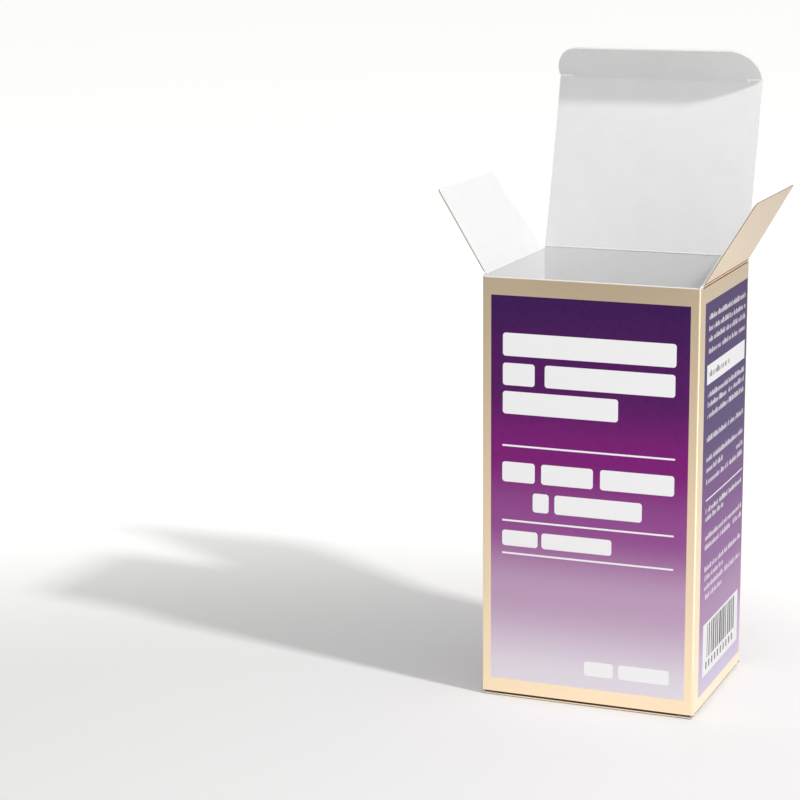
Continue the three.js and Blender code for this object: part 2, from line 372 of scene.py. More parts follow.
def makeCreasedFoil():
    material, tree, shader, vector = newMaterial("creasedFoil")
    foil = useGroup(tree, foilGroup, Vector=vector)
    across, along = sheetCoords(tree)
    tone = foil["Color"]
    paintedBands = []
    # each band paints shade or a highlight onto the crease, with less metal in it
    for low, high, color in creaseLook["bands"]:
        mask = bar(tree, across, along, -creaseLook["halfLength"], creaseLook["halfLength"], low, high)
        tone = mix(tree, mask, tone, color)
        paintedBands.append(mask)
    tree.links.new(tone, shader["Base Color"])
    loss = creaseLook["paintedMetallic"] - foilLook["metallic"]
    metal = calc(tree, "MULTIPLY_ADD", unite(tree, paintedBands), loss, foilLook["metallic"])
    tree.links.new(metal, shader["Metallic"])
    tree.links.new(foil["Roughness"], shader["Roughness"])
    addBump(tree, shader, foil["Height"], strength=0.04, distance=0.0002)
    return material


# painted shade: a dark brown tone for stretches of fold where shade falls, against the floor and in the gap
# under the front wall
foldShadeLook = {
    "darker": srgb(48, 28, 12),
    "lighter": srgb(96, 62, 30),
    "scale": 900.0,
    "metallic": 0.2,
    "roughness": 0.5,
    "roughnessSpread": 0.2,
}


def makeFoldShade():
    material, tree, shader, vector = newMaterial("paintedFoldShade")
    wear = noise(tree, vector, foldShadeLook["scale"], detail=3.0)
    rough = calc(tree, "MULTIPLY_ADD", wear, foldShadeLook["roughnessSpread"], foldShadeLook["roughness"])
    tree.links.new(mix(tree, wear, foldShadeLook["darker"], foldShadeLook["lighter"]), shader["Base Color"])
    tree.links.new(rough, shader["Roughness"])
    shader["Metallic"].default_value = foldShadeLook["metallic"]
    return material


def makeLiner():
    material, tree, shader, vector = newMaterial("bareBoard")
    fibre = useGroup(tree, fibreGroup, Vector=vector)
    tree.links.new(fibre["Color"], shader["Base Color"])
    shader["Roughness"].default_value = linerLook["roughness"]
    addBump(tree, shader, fibre["Height"], strength=0.12, distance=0.0002)
    return material


cutLook = {
    "darker": srgb(232, 229, 222),
    "lighter": srgb(250, 249, 246),
    "foilLine": srgb(140, 112, 74),
    "foilCrispness": 9.0,
    "layerScale": 6000.0,
    "roughness": 0.85,
}


# the board's cut edge, whose map runs from 0 at the outer face up to 1 at the inner one
def makeCutEdge(name, foilShare):
    material, tree, shader, vector = newMaterial(name)
    layers = noise(tree, vector, cutLook["layerScale"])
    tone = mix(tree, layers, cutLook["darker"], cutLook["lighter"])
    nearFoil = calc(tree, "SUBTRACT", foilShare, sheetMap(tree)[1])
    foilLine = calc(tree, "MULTIPLY", nearFoil, cutLook["foilCrispness"], clamp=True)
    tree.links.new(mix(tree, foilLine, tone, cutLook["foilLine"]), shader["Base Color"])
    shader["Roughness"].default_value = cutLook["roughness"]
    addBump(tree, shader, layers, strength=0.3, distance=0.0001)
    return material


# tones from the top of a shaded panel to its foot: share of the way, then the color
frontTones = [
    (0.0, (60, 9, 84)), (0.22, (84, 10, 96)), (0.40, (126, 18, 118)), (0.58, (150, 78, 147)),
    (0.76, (194, 160, 192)), (1.0, (232, 225, 234)),
]
rightTones = [
    (0.0, (68, 46, 96)), (0.34, (74, 51, 106)), (0.50, (108, 62, 124)), (0.66, (136, 86, 146)),
    (0.80, (166, 128, 170)), (0.91, (192, 172, 202)), (1.0, (202, 192, 218)),
]
leftTones = [
    (0.0, (58, 44, 94)), (0.38, (70, 40, 98)), (0.58, (108, 42, 110)), (0.74, (146, 98, 150)),
    (0.88, (180, 158, 192)), (1.0, (202, 194, 218)),
]


# a field is left, right, low and high on its panel
def gradientColor(tree, up, field, tones):
    along = mapRange(tree, up, (field[3], field[2]))
    ramp = tree.nodes.new("ShaderNodeValToRGB")
    ramp.color_ramp.interpolation = "EASE"
    stops = ramp.color_ramp.elements
    for stop, (place, tone) in zip(stops, (tones[0], tones[-1])):
        stop.position = place
        stop.color = srgb(*tone)
    for place, tone in tones[1:-1]:
        stops.new(place).color = srgb(*tone)
    tree.links.new(along, ramp.inputs[0])
    return ramp.outputs[0]


inkLook = {
    "white": srgb(250, 249, 250),
    "grainScale": 700.0,
    "grainShare": 0.014,
    "roughness": 0.38,
    "roughnessSpread": 0.08,
    "specular": 0.12,
    "bareAbove": 128.42,
    "bare": srgb(252, 250, 246),
}


# ink inside the field, gold round it and bare board along the top rim
def finishPrint(material, tree, shader, vector, fieldMask, inkColor, up, whiteMask=None):
    foil = useGroup(tree, foilGroup, Vector=vector)
    grain = noise(tree, vector, inkLook["grainScale"], detail=3.0, roughness=0.6)
    ink = mix(tree, calc(tree, "MULTIPLY", grain, inkLook["grainShare"]), inkColor, (1.0, 1.0, 1.0, 1.0))
    if whiteMask is not None:
        ink = mix(tree, whiteMask, ink, inkLook["white"])
    tone = mix(tree, fieldMask, foil["Color"], ink)
    above = calc(tree, "SUBTRACT", up, inkLook["bareAbove"])
    bare = calc(tree, "MULTIPLY", above, markCrispness, clamp=True)
    tree.links.new(mix(tree, bare, tone, inkLook["bare"]), shader["Base Color"])
    covered = calc(tree, "MAXIMUM", fieldMask, bare)
    metal = calc(tree, "MULTIPLY_ADD", covered, -foilLook["metallic"], foilLook["metallic"])
    tree.links.new(metal, shader["Metallic"])
    inkRough = calc(tree, "MULTIPLY_ADD", grain, inkLook["roughnessSpread"], inkLook["roughness"])
    rough = mix(tree, fieldMask, foil["Roughness"], inkRough, kind="FLOAT")
    tree.links.new(rough, shader["Roughness"])
    shader["Specular IOR Level"].default_value = inkLook["specular"]
    addBump(tree, shader, grain, strength=0.015, distance=0.0001)
    return material


# where the print lies on a panel, in millimetres from the panel's left fold and from the base
frontPrint = {
    "field": (2.8, 63.2, 5.6, 123.4),
    "rules": [(6.4, 59.3, 78.35), (6.4, 59.3, 55.4), (6.4, 59.3, 45.3)],
    "ruleWidth": 0.55,
    "rounding": 0.9,
    "bars": [
        (6.5, 59.2, 105.4, 112.3),
        (6.5, 16.4, 96.6, 103.3), (19.5, 59.0, 96.6, 103.3),
        (6.5, 42.0, 88.0, 94.8),
        (6.4, 16.6, 67.3, 73.4), (18.6, 34.6, 67.3, 73.4), (36.8, 59.2, 67.3, 73.4),
        (16.0, 21.0, 58.6, 64.4), (22.8, 49.6, 58.6, 64.4),
        (6.4, 17.6, 47.6, 52.4), (18.8, 40.5, 47.6, 52.4),
        (32.4, 41.4, 9.7, 14.2), (43.0, 58.6, 9.7, 14.2),
    ],
}


def rule(tree, across, up, left, right, height, width):
    return bar(tree, across, up, left, right, height - width / 2, height + width / 2)


# the front, or the same panel with nothing on it for the back
def makePanelPrint(name, marked):
    material, tree, shader, vector = newMaterial(name)
    across, up = sheetCoords(tree)
    field = frontPrint["field"]
    fieldMask = bar(tree, across, up, *field)
    white = None
    if marked:
        masks = [rule(tree, across, up, *spot, frontPrint["ruleWidth"]) for spot in frontPrint["rules"]]
        masks += [bar(tree, across, up, *box, rounding=frontPrint["rounding"]) for box in frontPrint["bars"]]
        white = unite(tree, masks)
    ground = gradientColor(tree, up, field, frontTones)
    return finishPrint(material, tree, shader, vector, fieldMask, ground, up, white)


# a row is start, end and base line, and marks are how many to a millimetre and how much of that is dark
sidePrint = {
    "rightField": (5.5, 53.8, 4.7, 123.4),
    "leftField": (7.5, 55.8, 4.7, 123.4),
    "leftShift": 4.5,
    "label": (8.4, 51.8, 99.0, 104.8),
    "labelRow": (11.0, 34.0, 101.0),
    "labelRowHeight": 2.0,
    "rule": (9.8, 52.4, 64.2),
    "ruleWidth": 0.5,
    "codeLabel": (9.9, 50.4, 9.6, 26.0),
    "codeBars": (14.6, 46.4, 14.7, 25.2),
    "thickMarks": (0.42, 0.40),
    "thinCells": 2.6,
    "thinChance": 0.72,
    "ticks": (13.0, 46.6, 11.4, 13.6),
    "tickMarks": (0.3, 0.36),
    "rowHeight": 1.7,
    "lineStrength": 0.85,
    "white": srgb(232, 230, 231),
    "dark": srgb(70, 68, 74),
    "rows": [
        (9.6, 51.6, 118.0), (9.6, 51.6, 114.7), (9.6, 51.4, 111.5), (9.6, 51.4, 108.0),
        (9.6, 51.8, 95.0), (9.6, 51.6, 92.1), (9.6, 51.6, 88.8),
        (9.4, 51.8, 81.8),
        (9.4, 51.8, 75.8), (9.4, 28.0, 72.6), (44.0, 52.0, 72.0), (9.6, 51.8, 69.0),
        (9.8, 51.6, 60.2), (9.8, 30.0, 57.8),
        (9.8, 53.0, 52.0), (9.8, 52.4, 49.1),
        (9.8, 52.0, 42.4), (9.8, 31.0, 39.6), (9.8, 31.0, 36.6), (33.0, 52.0, 36.4), (9.8, 30.0, 33.6),
    ],
}


def row(tree, across, up, spot, height):
    return useGroup(tree, rowGroup, Across=across, Up=up, Start=spot[0], End=spot[1], Base=spot[2],
                    Height=height)["Mask"]


def evenMarks(tree, across, perMillimetre, darkShare):
    place = calc(tree, "FRACT", calc(tree, "MULTIPLY", across, perMillimetre))
    return calc(tree, "LESS_THAN", place, darkShare)


def unevenMarks(tree, across):
    cell = calc(tree, "FLOOR", calc(tree, "MULTIPLY", across, sidePrint["thinCells"]))
    chance = tree.nodes.new("ShaderNodeTexWhiteNoise")
    chance.noise_dimensions = "1D"
    tree.links.new(cell, chance.inputs["W"])
    return calc(tree, "GREATER_THAN", chance.outputs["Value"], sidePrint["thinChance"])


def makeSidePrint(name, shift, field, tones):
    material, tree, shader, vector = newMaterial(name)
    across, up = sheetCoords(tree)
    across = calc(tree, "ADD", across, shift)
    fieldMask = bar(tree, across, up, *field)
    rows = [row(tree, across, up, spot, sidePrint["rowHeight"]) for spot in sidePrint["rows"]]
    rows.append(rule(tree, across, up, *sidePrint["rule"], sidePrint["ruleWidth"]))
    label = bar(tree, across, up, *sidePrint["label"])
    codeLabel = bar(tree, across, up, *sidePrint["codeLabel"])
    lines = calc(tree, "MULTIPLY", unite(tree, rows), sidePrint["lineStrength"])
    white = unite(tree, [lines, label, codeLabel])

    # plain upright bars on the lower label, thick and thin, with a row of small marks under them
    codeBox = bar(tree, across, up, *sidePrint["codeBars"])
    thick = evenMarks(tree, across, *sidePrint["thickMarks"])
    codeMarks = calc(tree, "MAXIMUM", thick, unevenMarks(tree, across))
    codeMask = calc(tree, "MULTIPLY", codeBox, codeMarks)
    tickBox = bar(tree, across, up, *sidePrint["ticks"])
    ticks = calc(tree, "MULTIPLY", tickBox, evenMarks(tree, across, *sidePrint["tickMarks"]))
    labelRow = row(tree, across, up, sidePrint["labelRow"], sidePrint["labelRowHeight"])
    dark = unite(tree, [codeMask, ticks, labelRow])

    ink = mix(tree, white, gradientColor(tree, up, field, tones), sidePrint["white"])
    ink = mix(tree, dark, ink, sidePrint["dark"])
    return finishPrint(material, tree, shader, vector, fieldMask, ink, up)


# of a cut edge's thickness, how much shows the gold
foilShares = {"wall": 0.0, "flap": 0.5, "lid": 0.2}

foilMaterial = makeFoil()
creasedMaterial = makeCreasedFoil()
foldShadeMaterial = makeFoldShade()
linerMaterial = makeLiner()
edgeMaterial = makeCutEdge("cutEdge", foilShares["wall"])
flapEdgeMaterial = makeCutEdge("flapCutEdge", foilShares["flap"])
lidEdgeMaterial = makeCutEdge("lidCutEdge", foilShares["lid"])
frontMaterial = makePanelPrint("frontPrint", True)
rightMaterial = makeSidePrint("rightPrint", 0.0, sidePrint["rightField"], rightTones)
leftMaterial = makeSidePrint("leftPrint", sidePrint["leftShift"], sidePrint["leftField"], leftTones)
backMaterial = makePanelPrint("backPrint", False)
print("finishes made")


# board modelled flat and then folded

# the first three materials of every piece
linerSlot = 0
edgeSlot = 1
foilSlot = 2
sheetSharp = 40
creaseSharp = 50


def makePiece(name, solid, sharpAngle):
    bmesh.ops.recalc_face_normals(solid, faces=solid.faces[:])
    mesh = bpy.data.meshes.new(name)
    solid.to_mesh(mesh)
    solid.free()
    mesh.set_sharp_from_angle(angle=radians(sharpAngle))
    piece = bpy.data.objects.new(name, mesh)
    bpy.context.scene.collection.objects.link(piece)
    return piece


# a board with the given outline on the blank, where place turns across, up and depth into a point
def makeSheet(name, outline, cutsAcross, cutsUp, place, skin, sheetUv=None, edgeSlotAt=None):
    flat = bmesh.new()
    flat.faces.new([flat.verts.new((u, v, 0)) for u, v in outline])
    for cuts, normal in ((cutsAcross, Vector((1, 0, 0))), (cutsUp, Vector((0, 1, 0)))):
        for cut in cuts:
            everything = flat.verts[:] + flat.edges[:] + flat.faces[:]
            bmesh.ops.bisect_plane(flat, geom=everything, dist=1e-4, plane_co=normal * cut, plane_no=normal)
    uneven = [face for face in flat.faces if len(face.verts) > 4]
    bmesh.ops.triangulate(flat, faces=uneven)

    solid = bmesh.new()
    uvLayer = solid.loops.layers.uv.new("sheet")
    outer = {}
    inner = {}
    for vert in flat.verts:
        u, v = vert.co.x, vert.co.y
        outer[vert] = solid.verts.new(Vector(place(u, v, 0.0)) * mm)
        inner[vert] = solid.verts.new(Vector(place(u, v, carton["board"])) * mm)

    def addFace(verts, spots, slotIndex, middle=None):
        face = solid.faces.new(verts)
        face.material_index = slotIndex
        face.smooth = True
        for loop, spot in zip(face.loops, spots):
            u, v = sheetUv(*spot, middle.x) if sheetUv and middle else spot
            loop[uvLayer].uv = (u / sheetScale, v / sheetScale)

    for face in flat.faces:
        spots = [(vert.co.x, vert.co.y) for vert in face.verts]
        middle = face.calc_center_median()
        addFace([outer[vert] for vert in face.verts], spots, skin(middle.x, middle.y), middle)
        addFace([inner[vert] for vert in reversed(face.verts)], spots[::-1], linerSlot, middle)
    for edge in flat.edges:
        if len(edge.link_faces) == 1:
            a, b = edge.verts
            length = (b.co - a.co).length
            slotIndex = edgeSlotAt((a.co + b.co) / 2) if edgeSlotAt else edgeSlot
            spots = [(0, 0), (length, 0), (length, sheetScale), (0, sheetScale)]
            addFace([outer[a], outer[b], inner[b], inner[a]], spots, slotIndex)
    flat.free()
    return makePiece(name, solid, sheetSharp)


def steps(low, high, count):
    return [low + (high - low) * i / count for i in range(count + 1)]


def dress(piece, *materials):
    for material in materials:
        piece.data.materials.append(material)


def plainSkin(across, up):
    return foilSlot


# the sleeve: right, front, left and back walls, then the glue flap
seam = {
    "setback": 0.5,
    "glueFlap": 12.2,
    "glueDrop": 1.2,
    "taper": radians(15),
    "glueGap": 0.03,
    "relief": 0.4,
    "bow": 0.16,
    "rimBow": 0.22,
    "rimBowPower": 8,
    "shadeShort": 0.7,
    "lowEdgeTop": 10,
}
wallSlots = {"right": 3, "front": 4, "left": 5, "back": 6, "glue": linerSlot}
lowEdgeSlot = 7
foldShadeSlot = 8

fold = carton["fold"]
foldLength = fold * pi / 2
foldStartZ = carton["rimBottom"] + fold
halfWidth = carton["halfWidth"]
halfDepth = carton["halfDepth"]
backFoldX = halfWidth - carton["board"] - seam["glueGap"]
# each wall's name, start, heading and length
path = [
    ("right", (halfWidth, halfDepth - seam["setback"]), (0, -1), 2 * halfDepth - seam["setback"] - fold),
    ("front", (halfWidth - fold, -halfDepth), (-1, 0), 2 * (halfWidth - fold)),
    ("left", (-halfWidth, -halfDepth + fold), (0, 1), 2 * (halfDepth - fold)),
    ("back", (-halfWidth + fold, halfDepth), (1, 0), halfWidth - fold + backFoldX - fold),
    ("glue", (backFoldX, halfDepth - fold), (0, -1), seam["glueFlap"]),
]
wallStart = {}
runner = 0.0
for wallName, start, heading, length in path:
    wallStart[wallName] = runner
    runner += length + foldLength
sleeveLength = runner - foldLength


# the wall at u across the blank, how far along it u lies, and the angle where it is in the fold after it
def wallAt(u):
    for i, (wallName, start, heading, length) in enumerate(path[:-1]):
        begin = wallStart[wallName]
        if u <= begin + length:
            return i, u - begin, None
        if u < begin + length + foldLength:
            return i, length, (u - begin - length) / fold
    return len(path) - 1, u - wallStart["glue"], None


# how far a panel stands out from flat, in millimetres
def bowOf(wallName, along, length, v):
    if wallName == "glue":
        return 0.0
    side = sin(pi * min(max(along / length, 0), 1))
    height = (v - carton["rimBottom"]) / (carton["rimTop"] - carton["rimBottom"])
    height = min(max(height, 0), 1)
    rimBow = seam["rimBow"] * height ** seam["rimBowPower"] if wallName == "front" else 0.0
    return side * (seam["bow"] * sin(pi * height) - rimBow)


def placeSleeve(u, v, w):
    i, along, angle = wallAt(u)
    wallName, start, heading, length = path[i]
    hx, hy = heading
    inX, inY = hy, -hx
    if angle is not None:
        turnX = start[0] + hx * length + inX * fold
        turnY = start[1] + hy * length + inY * fold
        outX = -inX * cos(angle) + hx * sin(angle)
        outY = -inY * cos(angle) + hy * sin(angle)
        return (turnX + outX * (fold - w), turnY + outY * (fold - w), v)
    x = start[0] + hx * along
    y = start[1] + hy * along
    inward = w - bowOf(wallName, along, length, v)
    z = v
    onDustFlap = carton["dustFrontY"] - 0.01 < y < carton["dustBackY"] + 0.01
    if wallName in ("left", "right") and onDustFlap and v < foldStartZ - 1e-6:
        down = foldStartZ - v
        if down < foldLength:
            turn = down / fold
            inward = fold - (fold - w) * cos(turn)
            z = foldStartZ - (fold - w) * sin(turn)
        else:
            inward = fold + down - foldLength
            z = carton["rimBottom"] + w
    return (x + inX * inward, y + inY * inward, z)


def sleeveOutline():
    top = carton["rimTop"]
    low = carton["rimBottom"]
    gap = carton["hingeGap"]
    seat = carton["dustAxisZ"] - carton["dustCrease"]
    frontTop = top - carton["frontDrop"]
    frontLow = low + carton["frontDrop"]
    frontY = carton["dustFrontY"]
    backY = carton["dustBackY"]
    foldEnd = foldStartZ - foldLength
    tabLow = foldEnd - (carton["dustReach"] + halfBoard - fold)
    taper = carton["dustTaper"]
    relief = seam["relief"]
    glueStart = wallStart["glue"]
    glueEnd = sleeveLength
    glueLow = low + seam["glueDrop"]
    glueTop = top - seam["glueDrop"]
    slope = (glueEnd - glueStart) * sin(seam["taper"]) / cos(seam["taper"])
    frontStart = wallStart["front"] - foldLength
    frontEnd = wallStart["left"]

    def rightU(y):
        return wallStart["right"] + (halfDepth - seam["setback"]) - y

    def leftU(y):
        return wallStart["left"] + y + halfDepth - fold

    return [
        (0, low), (rightU(backY + relief), low), (rightU(backY + relief), foldStartZ),
        (rightU(backY), foldStartZ), (rightU(backY), foldEnd), (rightU(backY - taper), tabLow),
        (rightU(frontY), tabLow), (rightU(frontY), foldStartZ), (rightU(frontY - relief), foldStartZ),
        (rightU(frontY - relief), low),
        (frontStart, low), (frontStart, frontLow), (frontEnd, frontLow), (frontEnd, low),
        (leftU(frontY - relief), low), (leftU(frontY - relief), foldStartZ), (leftU(frontY), foldStartZ),
        (leftU(frontY), tabLow), (leftU(backY - taper), tabLow), (leftU(backY), foldEnd),
        (leftU(backY), foldStartZ), (leftU(backY + relief), foldStartZ), (leftU(backY + relief), low),
        (glueStart, low), (glueStart, glueLow), (glueEnd, glueLow + slope),
        (glueEnd, glueTop - slope), (glueStart, glueTop), (glueStart, top),
        (leftU(backY + gap), top), (leftU(backY + gap), seat), (leftU(frontY - gap), seat),
        (leftU(frontY - gap), top), (frontEnd, top), (frontEnd, frontTop), (frontStart, frontTop),
        (frontStart, top), (rightU(frontY - gap), top), (rightU(frontY - gap), seat),
        (rightU(backY + gap), seat), (rightU(backY + gap), top), (0, top),
    ]


def sleeveSkin(u, v):
    i, along, angle = wallAt(u)
    wallName = path[i][0]
    # painted shade on the lower turn of the side walls' bottom folds, which faces the floor
    if foldStartZ - foldLength < v < foldStartZ - seam["shadeShort"] and wallName in ("left", "right"):
        return foldShadeSlot
    if angle is not None or v < foldStartZ - foldLength:
        return foilSlot
    return wallSlots[wallName]


# across each panel from its left fold, seen from outside
def sleeveUv(u, v, middle):
    wallName = path[wallAt(middle)[0]][0]
    along = u - wallStart[wallName]
    if wallName == "right":
        return 2 * halfDepth - seam["setback"] - along, v
    if wallName == "glue":
        return along, v
    return 2 * (halfDepth if wallName == "left" else halfWidth) - fold - along, v


def sleeveEdgeSlot(spot):
    return lowEdgeSlot if spot.y < seam["lowEdgeTop"] else edgeSlot


cutsAcross = []
for wallName, start, heading, length in path:
    begin = wallStart[wallName]
    cutsAcross += steps(begin, begin + length, max(2, round(length / 5)))
    if wallName != "glue":
        cutsAcross += steps(begin + length, begin + length + foldLength, 6)[1:-1]
cutsUp = steps(foldStartZ, 125.0, 22) + [127.0, 128.0]
cutsUp += steps(foldStartZ - foldLength, foldStartZ, 6)
cutsUp += steps(foldStartZ - foldLength - 27.0, foldStartZ - foldLength, 6)

sleeve = makeSheet("carton_sleeve", sleeveOutline(), cutsAcross, cutsUp, placeSleeve, sleeveSkin, sleeveUv,
                   sleeveEdgeSlot)
dress(sleeve, linerMaterial, edgeMaterial, foilMaterial, rightMaterial, frontMaterial, leftMaterial,
      backMaterial, flapEdgeMaterial, foldShadeMaterial)
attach(sleeve, "body")
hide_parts("carton_body")
print("sleeve made")


# flat flaps

# points on a flap: a runs away from the hinge, b along it, w from the outer face in
def flapPlace(hinge, along, side, inside, warp=None):
    def place(b, a, w):
        lift = warp(b, a) if warp else 0.0
        return hinge + along * a + side * b + inside * (w - halfBoard + lift)
    return place


def arcPoints(centre, radiusX, radiusY, start, end, count):
    angles = [radians(angle) for angle in steps(start, end, count)]
    return [(centre[0] + radiusX * cos(angle), centre[1] + radiusY * sin(angle)) for angle in angles]


lidLook = {
    "lean": radians(105.6 - 90),
    "bow": 0.35,
    "creaseStart": 0.6,
}
creaseStart = lidLook["creaseStart"]
lidAlong = Vector((0, sin(lidLook["lean"]), cos(lidLook["lean"])))
lidInside = Vector((0, -cos(lidLook["lean"]), sin(lidLook["lean"])))
lidHinge = Vector((0, carton["lidAxisY"], carton["lidAxisZ"]))
acrossX = Vector((1, 0, 0))


def lidOutline(creaseEdge):
    half = carton["lidHalf"]
    crease = carton["creaseHalf"]
    shoulder = carton["lidReach"] + carton["shoulder"]
    return [(-half, creaseStart), (half, creaseStart), (half, shoulder), (crease, shoulder),
            (crease, creaseEdge), (-crease, creaseEdge), (-crease, shoulder), (-half, shoulder)]


def lidWarp(b, a):
    return -lidLook["bow"] * (b / carton["lidHalf"]) ** 2 * sin(pi * min(a / carton["lidReach"], 1))


lidPanel = makeSheet("lid_panel", lidOutline(carton["lidReach"] - halfBoard - carton["hingeGap"]),
                     steps(-32, 32, 16), steps(4, 50, 12),
                     flapPlace(lidHinge, lidAlong, acrossX, lidInside, lidWarp), plainSkin)
dress(lidPanel, linerMaterial, lidEdgeMaterial, foilMaterial)
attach(lidPanel, "lid")
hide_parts("top_lid")

tuckLook = {
    "fold": radians(56),
    "slit": 0.4,
    "straight": 2.0,
    "cornerWidth": 8.3,
    "cornerSteps": 14,
}
tuckLean = lidLook["lean"] - tuckLook["fold"]
tuckHinge = lidHinge + lidAlong * carton["lidReach"]
tuckAlong = Vector((0, sin(tuckLean), cos(tuckLean)))
tuckInside = Vector((0, -cos(tuckLean), sin(tuckLean)))
neck = carton["creaseHalf"] - carton["hingeGap"]


# the two rounded corners of a tuck, from the right side over its tip to the left side
def tuckCorners(cornerWidth, low, high, count):
    middle = carton["lidHalf"] - cornerWidth
    return (arcPoints((middle, low), cornerWidth, high - low, 0, 90, count)
            + arcPoints((-middle, low), cornerWidth, high - low, 90, 180, count))


def tuckOutline():
    half = carton["lidHalf"]
    lobe = carton["shoulder"] + tuckLook["slit"]
    corners = tuckCorners(tuckLook["cornerWidth"], tuckLook["straight"], carton["tuckLength"],
                          tuckLook["cornerSteps"])
    return ([(-neck, creaseStart), (neck, creaseStart), (neck, lobe), (half, lobe)] + corners
            + [(-half, lobe), (-neck, lobe)])


tuckPiece = makeSheet("tuck_panel", tuckOutline(), steps(-28, 28, 14), steps(2, 11, 6),
                      flapPlace(tuckHinge, tuckAlong, acrossX, tuckInside), plainSkin)
dress(tuckPiece, linerMaterial, lidEdgeMaterial, foilMaterial)
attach(tuckPiece, "tuck")
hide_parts("tuck_flap")

dustLook = {
    "lean": radians(121.5 - 90),
    "cornerRadius": 0.9,
    "slantAngle": 12,
}


def dustOutline():
    frontY = carton["dustFrontY"]
    backY = carton["dustBackY"]
    radius = dustLook["cornerRadius"]
    high = carton["dustReach"] - radius
    return ([(backY, carton["dustCrease"]), (frontY, carton["dustCrease"])]
            + arcPoints((frontY + radius, high), radius, radius, 180, 90, 5)
            + arcPoints((backY - carton["dustTaper"] - radius, high), radius, radius, 90,
                        dustLook["slantAngle"], 5))


# hinge, direction away from it and direction to the inside, for the flap on side -1 or 1
def dustDirections(side):
    hinge = Vector((side * carton["dustAxisX"], 0, carton["dustAxisZ"]))
    along = Vector((side * sin(dustLook["lean"]), 0, cos(dustLook["lean"])))
    inside = Vector((-side * cos(dustLook["lean"]), 0, sin(dustLook["lean"])))
    return hinge, along, inside


for sideName, side in (("left", -1), ("right", 1)):
    hinge, along, inside = dustDirections(side)
    dust = makeSheet(sideName + "_dust_panel", dustOutline(), steps(-22, 22, 8), steps(4, 24, 5),
                     flapPlace(hinge, along, Vector((0, 1, 0)), inside), plainSkin)
    dress(dust, linerMaterial, flapEdgeMaterial, foilMaterial)
    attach(dust, sideName + "_flap")
    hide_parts(sideName + "_dust_flap")
print("flaps made")


# creases between the sleeve and its flaps

# a bead with a groove on either side, in millimetres from the hinge
creaseShape = {
    "bead": 0.14,
    "beadHalf": 0.32,
    "grooveAt": 0.45,
    "grooveHalf": 0.2,
    "grooveShare": 0.8,
    "longestTurn": 0.5,
    "rows": 26,
    "columns": 8,
    "overlap": 0.55,
}


# how far the crease stands out from the flat board
def creaseHeight(along, bead):
    swell = max(0.0, 1 - abs(along) / creaseShape["beadHalf"])
    groove = max(0.0, 1 - abs(abs(along) - creaseShape["grooveAt"]) / creaseShape["grooveHalf"])
    return bead * (swell * swell * (3 - 2 * swell)
                   - creaseShape["grooveShare"] * groove * groove * (3 - 2 * groove))


# a strip of board round a hinge: it comes along before, turns at the hinge and leaves along after
def makeCrease(name, hinge, before, after, side, inside, span, reach, skin,
               bead=creaseShape["bead"]):
    hinge = Vector(hinge)
    before = Vector(before).normalized()
    after = Vector(after).normalized()
    side = Vector(side)
    inside = Vector(inside).normalized()
    tangent = min(reach[0], reach[1], creaseShape["longestTurn"])
    first = hinge - before * tangent
    last = hinge + after * tangent
    spots = []
    for along in steps(-reach[0], reach[1], creaseShape["rows"]):
        if abs(along) >= tangent:
            direction = before if along < 0 else after
            spots.append((hinge + direction * along, direction, along))
            continue
        f = (along / tangent + 1) / 2
        point = first * (1 - f) ** 2 + hinge * 2 * f * (1 - f) + last * f ** 2
        direction = ((hinge - first) * (1 - f) + (last - hinge) * f).normalized()
        spots.append((point, direction, along))

    solid = bmesh.new()
    uvLayer = solid.loops.layers.uv.new("sheet")
    places = {}
    rings = []
    for point, direction, along in spots:
        normal = side.cross(direction).normalized()
        if normal.dot(inside) < 0:
            normal = -normal
        raised = creaseHeight(along, bead)
        ring = []
        for across in steps(span[0], span[1], creaseShape["columns"]):
            outerPoint = point + side * across - normal * (halfBoard + raised)
            innerPoint = point + side * across + normal * (halfBoard + max(raised, 0.0))
            ring.append((solid.verts.new(outerPoint * mm), solid.verts.new(innerPoint * mm)))
            for vert in ring[-1]:
                places[vert] = (across / sheetScale, along / sheetScale)
        rings.append(ring)

    def addFace(verts, slotIndex):
        face = solid.faces.new(verts)
        face.material_index = slotIndex
        face.smooth = True
        for loop in face.loops:
            loop[uvLayer].uv = places[loop.vert] if slotIndex != edgeSlot else (0.0, 1.0)

    for low, high in zip(rings, rings[1:]):
        for j in range(len(low) - 1):
            for k, slotIndex in ((0, foilSlot), (1, linerSlot)):
                addFace([low[j][k], low[j + 1][k], high[j + 1][k], high[j][k]], slotIndex)
        for j in (0, len(low) - 1):
            addFace([low[j][0], high[j][0], high[j][1], low[j][1]], edgeSlot)
    for ring in (rings[0], rings[-1]):
        for j in range(len(ring) - 1):
            addFace([ring[j][0], ring[j + 1][0], ring[j + 1][1], ring[j][1]], edgeSlot)
    piece = makePiece(name, solid, creaseSharp)
    dress(piece, linerMaterial, edgeMaterial, skin)
    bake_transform(piece)


overlap = creaseShape["overlap"]
for sideName, side in (("left", -1), ("right", 1)):
    hinge, along = dustDirections(side)[:2]
    makeCrease(sideName + "_dust_crease", hinge, (0, 0, 1), along, (0, 1, 0), (-side, 0, 0),
               (carton["dustFrontY"], carton["dustBackY"]), (carton["dustCrease"], carton["dustCrease"]),
               creasedMaterial)

lidEdge = carton["lidHalf"] - 0.1
makeCrease("lid_crease", lidHinge, (0, 0, 1), lidAlong, (1, 0, 0), (0, -1, 0), (-lidEdge, lidEdge),
           (overlap, creaseStart), foilMaterial)
makeCrease("tuck_crease", tuckHinge, lidAlong, tuckAlong, (1, 0, 0), lidInside, (-neck, neck),
           (overlap, creaseStart), foilMaterial)


